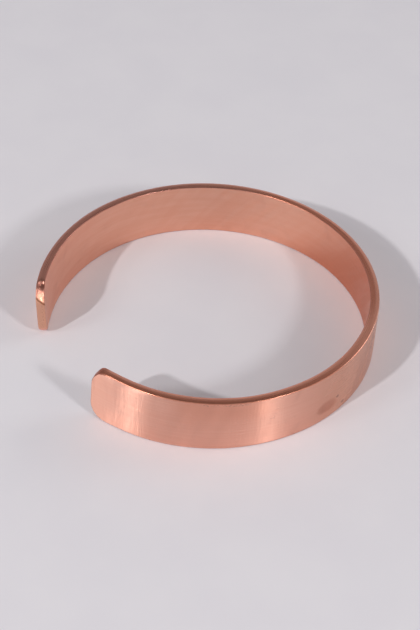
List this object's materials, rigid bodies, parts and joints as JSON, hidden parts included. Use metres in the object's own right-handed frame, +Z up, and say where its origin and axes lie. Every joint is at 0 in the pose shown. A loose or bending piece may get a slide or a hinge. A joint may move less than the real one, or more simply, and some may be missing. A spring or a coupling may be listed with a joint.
{
  "type": "open cuff bracelet",
  "caption": "Plain open cuff bracelet: a flat copper strip bent round into a band with a gap between its rounded ends.",
  "frame": {"origin": "middle of the bounding box, on the plane that the lower long edge of the strip rests on", "axes": "+Z up, across the width of the strip; the gap between the ends faces -Y; +X is to the right for a viewer who faces the gap"},
  "size_m": [0.063, 0.0618, 0.011],
  "materials": {
    "copper": null
  },
  "bodies": {
    "root": {"cuff_band": "copper"}
  },
  "joints": []
}
